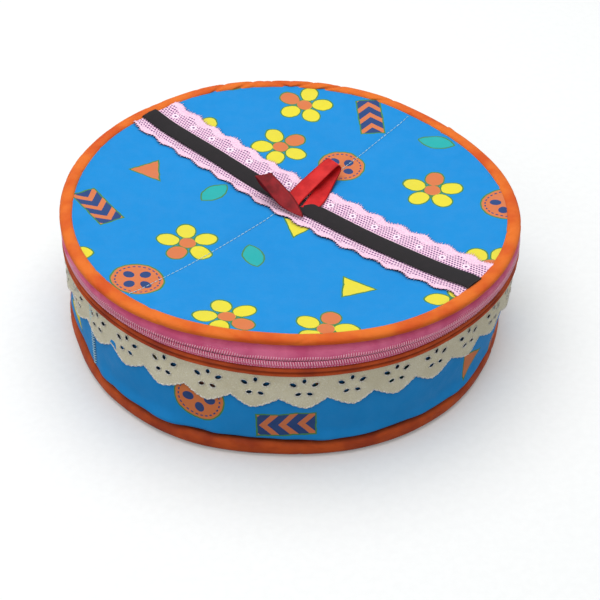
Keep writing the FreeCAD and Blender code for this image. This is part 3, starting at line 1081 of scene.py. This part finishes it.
def net_lace(material, thread):
    """Pink net lace across the lid, with uneven scalloped and frayed edges."""
    low_edge = LACE_MIDDLE - LACE_WIDTH / 2
    high_edge = LACE_MIDDLE + LACE_WIDTH / 2

    def edge(along, side):
        wave = 1.1 * MM * cos(TURN * along / ROSETTE_PITCH + side)
        fray = 0.35 * MM * sin(TURN * along / (1.7 * MM))
        fray += 0.3 * MM * lump((along, 0, 0), 1.2 * MM, 70 + side)
        return wave + fray + 0.9 * MM * lump((along, 0, 0), 30 * MM, 72 + side)

    def place(a, b):
        across = low_edge + (high_edge - low_edge) * b
        half = strip_reach(across)
        along = -half + 2 * half * a
        across += -edge(along, 1) * smooth(0.22, 0.0, b) + edge(along, 2) * smooth(0.78, 1.0, b)
        curl = 0.7 * MM * (smooth(0.12, 0.0, b) + smooth(0.88, 1.0, b))
        curl *= 0.6 + 0.4 * lump((along, b, 0), 9 * MM, 75)
        return on_lid(along, across, 0.45 * MM + curl)

    def uv(a, b):
        return (a * 2 * LID_INNER + 1.0, b * LACE_WIDTH)

    obj = grid("net_lace", 640, 30, place, uv=uv)
    finish_piece(obj, "lid", material, "lid_lace")
    fringe = []
    draw = random.Random(5)
    for side, b in ((1, 0.0), (2, 1.0)):
        for i in range(HAIRS):
            a = (i + draw.random()) / HAIRS
            root = place(a, b)
            inner = place(a, b + (0.08 if b == 0.0 else -0.08))
            out = (root - inner).normalized()
            lean = Vector((draw.uniform(-0.5, 0.5), draw.uniform(-0.5, 0.5), draw.uniform(-0.1, 0.2)))
            tip = root + (out + lean * 0.7).normalized() * draw.uniform(0.5, 1.5) * MM
            fringe.append(tube([root - out * 0.4 * MM, (root + tip) / 2, tip], 0.16 * MM, 4))
    hairs = join_parts("net_fringe", fringe)
    finish_piece(hairs, "lid", thread)


def strap(material):
    """Black tape that lies along the lace, its ends under the binding."""
    half_w = STRAP_WIDTH / 2
    thick = 0.45 * MM

    def place(a, b):
        s = TURN * b
        c = signed_power(cos(s), 0.35)
        d = signed_power(sin(s), 0.6)
        across = STRAP_MIDDLE + half_w * c
        half = strip_reach(STRAP_MIDDLE)
        along = -half + 2 * half * a
        across += 0.4 * MM * lump((along, 0, 0), 50 * MM, 81)
        crown = 0.5 * MM * (1 - abs(c)) + 0.25 * MM * lump((along, 0, 0), 25 * MM, 82)
        return on_lid(along, across, 1.35 * MM + crown + thick * d)

    obj = grid("black_strap", 300, 20, place, wrap_v=True, uv=lambda a, b: (a * 0.26, b * 28 * MM))
    finish_piece(obj, "lid", material, "lid_strap")


def ribbon_strip(name, spine, material, node=None):
    """A ribbon through (left edge, right edge) pairs, smoothed between them."""
    count = len(spine)
    per = 14

    def through(points, t):
        i = min(int(t * (count - 1)), count - 2)
        f = t * (count - 1) - i
        a = points[max(i - 1, 0)]
        b = points[i]
        c = points[i + 1]
        d = points[min(i + 2, count - 1)]
        return b + 0.5 * f * (c - a + f * (2 * a - 5 * b + 4 * c - d + f * (3 * (b - c) + d - a)))

    left = [Vector(p[0]) * MM for p in spine]
    right = [Vector(p[1]) * MM for p in spine]

    def place(a, b):
        t, side = two_faces(b)
        one = through(left, a)
        two = through(right, a)
        point = one.lerp(two, t)
        ahead = through(left, min(a + 0.01, 1.0)).lerp(through(right, min(a + 0.01, 1.0)), t)
        behind = through(left, max(a - 0.01, 0.0)).lerp(through(right, max(a - 0.01, 0.0)), t)
        normal = (two - one).cross(ahead - behind).normalized()
        cup = 0.35 * MM * sin(pi * t)
        return point + normal * (cup + side * 0.16 * MM)

    def uv(a, b):
        return (a * 0.06, two_faces(b)[0] * RIBBON_WIDTH)

    obj = grid(name, per * (count - 1), 20, place, wrap_v=True, uv=uv)
    finish_piece(obj, "lid", material, node)
    middle = [(one + two) / 2 for one, two in zip(left, right)]
    length = sum((there - here).length for here, there in zip(middle, middle[1:]))


def ribbons(bright, dark):
    """Red ribbon tied under the strap: a bright loop behind it and, before it, one in red satin
    darkened as painted shade.
    """
    # Behind the strap: out from under it, up to a fold, and back down beside itself
    ribbon_strip("ribbon_loop_back", [
        ((-1.0, 12.0, 75.4), (7.5, 4.0, 75.0)),
        ((3.0, 19.0, 76.5), (10.5, 9.5, 76.0)),
        ((12.0, 30.0, 80.0), (20.0, 22.0, 79.5)),
        ((22.5, 41.5, 84.0), (30.5, 35.0, 83.6)),
        ((25.5, 44.0, 84.0), (33.0, 37.0, 82.6)),
        ((26.5, 42.0, 81.6), (33.0, 35.5, 79.6)),
        ((17.5, 26.0, 76.6), (29.0, 26.0, 76.0)),
        ((12.0, 10.5, 75.2), (24.5, 12.0, 75.0)),
        ((8.0, 3.0, 74.8), (20.0, 2.5, 74.8)),
    ], bright, "red_ribbon")
    # Before the strap: rises over it, leans back and comes down again, in satin darkened as painted
    # shade
    ribbon_strip("ribbon_loop_front", [
        ((10.5, -9.0, 75.6), (1.0, -3.0, 75.6)),
        ((9.0, -4.0, 77.0), (-5.0, 1.0, 77.2)),
        ((4.5, 4.5, 80.0), (-11.0, 6.5, 80.6)),
        ((-3.0, 13.0, 84.0), (-16.0, 11.5, 84.6)),
        ((-9.5, 20.0, 86.8), (-20.0, 15.5, 87.0)),
        ((-9.6, 21.4, 86.2), (-20.4, 17.0, 86.2)),
        ((-6.0, 17.5, 80.6), (-16.0, 14.0, 80.6)),
        ((2.0, 12.0, 76.4), (-7.0, 7.0, 76.4)),
    ], dark)


def topstitch(thread):
    """Machine stitches across the lid, square to the trims."""
    runs = (
        (-strip_reach(0) + 3 * MM, LACE_MIDDLE - LACE_WIDTH / 2 - 0.5 * MM),
        (LACE_MIDDLE + LACE_WIDTH / 2 + 0.5 * MM, strip_reach(0) - 3 * MM),
    )
    parts = []
    for start, end in runs:
        count = int((end - start) / (0.25 * MM))
        points = []
        for i in range(count + 1):
            across = start + (end - start) * i / count
            along = STITCH_ALONG + 0.8 * MM * lump((across, 0, 0), 60 * MM, 91)
            points.append(on_lid(along, across, 0.12 * MM))
        parts += dashes_along(points, 2.6 * MM, 0.75 * MM)
    obj = join_parts("lid_stitches", parts)
    finish_piece(obj, "lid", thread, "lid_topstitch")


def side_seam(thread):
    """The wall's one upright seam: a dotted zigzag of white thread."""
    parts = []
    step = 1.9 * MM
    z = BOTTOM_TOP + 4 * MM
    k = 0
    while z < RIM_LOW:
        way = 1 if k % 2 else -1
        centre = settle(polar(WALL + 1.25 * MM, SEAM_ANGLE + way * 0.9 * MM / WALL, z))
        tangent = Vector((-sin(SEAM_ANGLE), cos(SEAM_ANGLE), 0)) * way * 0.8 * MM
        up = Vector((0, 0, 0.35 * MM))
        parts.append(tube([centre - tangent - up, centre + tangent + up], 0.28 * MM, 5))
        z += step / 2
        k += 1
    obj = join_parts("side_seam_stitches", parts)
    finish_piece(obj, "base", thread)


def round_cloth(name, nu, nv, radius, height, faces_up):
    """A disc of cloth that shows its face above or below."""
    def place(a, b):
        return disc_point(radius * max(b, HUB), a if faces_up else 1 - a, height)

    return grid(name, nu, nv, place, wrap_u=True, uv=lambda a, b: polar(radius * b, a * TURN, 0).xy)


def inner_cloths(material, blue):
    """Linings of the cavity and lid, and the cloth of the underside."""
    top = RIM_LOW + 0.8 * MM
    floor = high("base_bottom_lining")

    def wall(a, b):
        phi = a * TURN
        if b < 0.9:
            z = floor + (top - floor) * b / 0.9
            radius = CAVITY + 0.3 * MM * lump((phi * OUTER, z, 0), 16 * MM, 101)
        else:
            z = top
            radius = CAVITY + (WALL - 0.9 * MM - CAVITY) * (b - 0.9) / 0.1
        return settle(polar(radius, phi, z))

    obj = grid("wall_lining", 240, 40, lambda a, b: wall(1 - a, b), wrap_u=True, uv=ring_uv(60 * MM))
    finish_piece(obj, "base", material, "base_side_lining")

    def uneven(x, y, seed):
        return lump((x, y, 0), 25 * MM, seed)

    def floor_height(x, y):
        return floor + 0.25 * MM * uneven(x, y, 102)

    def lid_height(x, y):
        return lining_height(x, y) + 0.3 * MM * uneven(x, y, 103)

    obj = round_cloth("floor_lining", 160, 40, CAVITY + 0.6 * MM, floor_height, True)
    finish_piece(obj, "base", material, "base_bottom_lining")

    obj = round_cloth("lid_lining_cloth", 240, 60, WALL - 0.8 * MM, lid_height, False)
    finish_piece(obj, "lid", material, "lid_lining")

    obj = round_cloth("underside_cloth", 160, 30, OUTER - 6 * MM, lambda x, y: 0.1 * MM, False)
    finish_piece(obj, "base", blue, "base_bottom_cover")


def pads(material):
    """Foam of the wall, the floor and the lid, a little smaller than the cloths round it."""
    inner = CAVITY + 0.9 * MM
    outer = WALL - 1.6 * MM
    foot = BOTTOM_TOP + 1.8 * MM
    crown = RIM_LOW - 0.8 * MM

    def wall(a, b):
        phi = a * TURN
        s = TURN * b
        c = signed_power(cos(s), 0.25)
        d = signed_power(sin(s), 0.25)
        radius = (inner + outer) / 2 + (outer - inner) / 2 * c
        z = (foot + crown) / 2 + (crown - foot) / 2 * d
        foot_in = 2.6 * MM * bump_at(z, foot, 4 * MM) * max(c, 0)
        return settle(polar(radius - foot_in, phi, z))

    obj = grid("wall_pad", 180, 32, wall, wrap_u=True, wrap_v=True)
    finish_piece(obj, "base", material, "base_side_foam")

    def round_pad(name, node, body, radius, top, bottom):
        def place(a, b):
            t, side = two_faces(b)
            return disc_point(radius * max(t, HUB), a, top if side > 0 else bottom)

        pad = grid(name, 120, 60, place, wrap_u=True)
        finish_piece(pad, body, material, node)

    board_top = high("base_bottom_board")
    round_pad("floor_pad", "base_bottom_foam", "base", OUTER - 9.5 * MM,
              lambda x, y: BOTTOM_TOP - 0.5 * MM, lambda x, y: board_top + 0.2 * MM)
    edge = LID_INNER - 1 * MM
    round_pad("lid_pad", "lid_foam", "lid", edge,
              lambda x, y: lid_face(x, y) - 1.0 * MM,
              lambda x, y: min(lining_height(x, y) + 0.9 * MM, lid_face(x, y) - 1.3 * MM))


def lining_height(x, y):
    """Height of the lid's lining, which curves up to the seam round the pad."""
    shoulder = LID_INNER - 9 * MM
    radius = hypot(x, y)
    bowl = dish(min(radius, shoulder)) - DISH_PAD
    return bowl + (LID_SEAM - 0.4 * MM - bowl) * smooth(shoulder, LID_INNER + 1 * MM, radius)


# Camera, light and floor

FLOOR_SIZE = 12


def camera():
    """The photograph's camera, from its distance, height and tilt."""
    place = (0, -0.7512, 0.6156)
    pitch, yaw, roll = 0.684, 0.0145, 0.0489
    forward = Vector((sin(yaw) * cos(pitch), cos(yaw) * cos(pitch), -sin(pitch)))
    right = Vector((cos(yaw), -sin(yaw), 0))
    up = right.cross(forward)
    tilted = right * cos(roll) + up * sin(roll)
    upright = up * cos(roll) - right * sin(roll)
    data = bpy.data.cameras.new("camera")
    data.lens = 90
    data.sensor_width = 36
    data.clip_start = 0.01
    obj = bpy.data.objects.new("camera", data)
    bpy.context.scene.collection.objects.link(obj)
    turn = Matrix((tilted, upright, -forward)).transposed().to_4x4()
    obj.matrix_world = Matrix.Translation(place) @ turn
    bpy.context.scene.camera = obj


def area_light(name, place, size, energy):
    """A round soft light that faces the middle of the box."""
    data = bpy.data.lights.new(name, "AREA")
    data.shape = "DISK"
    data.size = size
    data.energy = energy
    obj = bpy.data.objects.new(name, data)
    bpy.context.scene.collection.objects.link(obj)
    obj.location = place
    aim = Vector((0, 0, 0.05)) - Vector(place)
    obj.rotation_euler = aim.to_track_quat("-Z", "Y").to_euler()


def studio():
    """A pale floor, a big soft light overhead and a weaker one from the front left."""
    scene = bpy.context.scene
    scene.view_settings.view_transform = "Standard"
    world = bpy.data.worlds.new("studio")
    scene.world = world
    world.use_nodes = True
    tree = world.node_tree
    background = tree.nodes["Background"]
    background.inputs["Color"].default_value = (0.95, 0.96, 0.96, 1)
    seen = tree.nodes.new("ShaderNodeLightPath")
    bright = tree.nodes.new("ShaderNodeMapRange")
    bright.inputs["To Min"].default_value = 0.5
    bright.inputs["To Max"].default_value = 0.95
    tree.links.new(seen.outputs["Is Camera Ray"], bright.inputs["Value"])
    tree.links.new(bright.outputs[0], background.inputs["Strength"])
    area_light("top_light", (-0.15, 0.25, 1.4), 1.6, 15.0)
    area_light("front_light", (-0.7, -1.0, 1.0), 0.9, 2.6)

    shader = Shader("floor_paper", Roughness=0.9)
    paper = shader.cloudy(shader.noise(5 * MM), (0.83, 0.84, 0.84, 1), (0.85, 0.86, 0.86, 1))
    rays = shader.add("ShaderNodeLightPath").outputs
    kinds = [Value(shader, rays[kind]) for kind in ("Is Camera Ray", "Is Glossy Ray")]
    shown = shader.math("MAXIMUM", *kinds)
    shader.feed(shader.bsdf, {
        "Base Color": shader.mix(shown, (0.42, 0.42, 0.42, 1), paper),
        "Emission Color": (0.97, 1.0, 0.99, 1),
        "Emission Strength": shown * 0.12,
    })

    def flat(a, b):
        return Vector(((a - 0.5) * FLOOR_SIZE, (b - 0.5) * FLOOR_SIZE, -0.05 * MM))

    obj = grid("floor", 8, 8, flat)
    finish_piece(obj, None, shader.material)


def cad_materials():
    """Materials of the CAD nodes that stay."""
    board = board_material("pressed_board")
    metal = painted_slider("slider_lacquer")
    for node, material in (
        ("base_bottom_board", board),
        ("slider_body", metal),
        ("slider_bail", metal),
        ("pull_tab", metal),
    ):
        obj = bpy.data.objects[node]
        for slot in obj.material_slots:
            slot.material = material
        if not obj.material_slots:
            obj.data.materials.append(material)


camera()
studio()
cad_materials()

blue = printed_cotton("printed_cotton")
orange = bias_cotton("orange_bias", srgb(234, 118, 34), srgb(214, 84, 20))
# The orange bias darkened as painted shade, for the bottom and rim bindings of the wall
shaded_orange = bias_cotton("orange_bias_painted_shade", srgb(206, 86, 28), srgb(160, 56, 24))
cream = lace_cotton("eyelet_cotton")
white = sewing_thread("white_thread", srgb(238, 236, 228), srgb(190, 184, 168))
cyan = sewing_thread("pale_thread", srgb(206, 238, 246), srgb(150, 210, 232))
tape = zip_cloth("pink_zip_tape")
nylon = coil_nylon("coil_nylon")
net = pink_net("pink_net")
pink_thread = sewing_thread("pink_thread", srgb(255, 214, 232), srgb(244, 176, 208))
webbing = black_webbing("black_webbing")
red = satin("red_satin", srgb(222, 30, 30), srgb(190, 16, 22))
# The red satin darkened as painted shade, for the ribbon's loop before the strap
shaded_red = satin("red_satin_painted_shade", srgb(158, 8, 22), srgb(104, 4, 14))
lining = lining_cloth("quilted_lining")

wall_piece(blue)
bottom_binding(shaded_orange)
rim_binding(shaded_orange)
eyelet_lace(cream, white)
side_seam(cyan)
tape_piece("lower_tape", "lower_zip_tape", lower_section, LOWER_ZIP, tape, "base", 700)
tape_piece("upper_tape", "upper_zip_tape", upper_section, UPPER_ZIP, tape, "lid", 700)
tape_piece("start_tape", "zip_start_tape", stub_section, ZIP_STUB, tape, "base", 24)
coil("lower_coil", "lower_zip_teeth", -1, LOWER_ZIP, nylon, "base")
coil("upper_coil", "upper_zip_teeth", 1, UPPER_ZIP, nylon, "lid")
coil("start_coil", "zip_start_teeth", 1, ZIP_STUB, nylon, "base")
zip_stitches(pink_thread)
hinge_panel(blue)
lid_cover(blue)
lid_binding(orange)
net_lace(net, pink_thread)
strap(webbing)
ribbons(red, shaded_red)
topstitch(cyan)
inner_cloths(lining, blue)
pads(foam_material("foam_cells"))
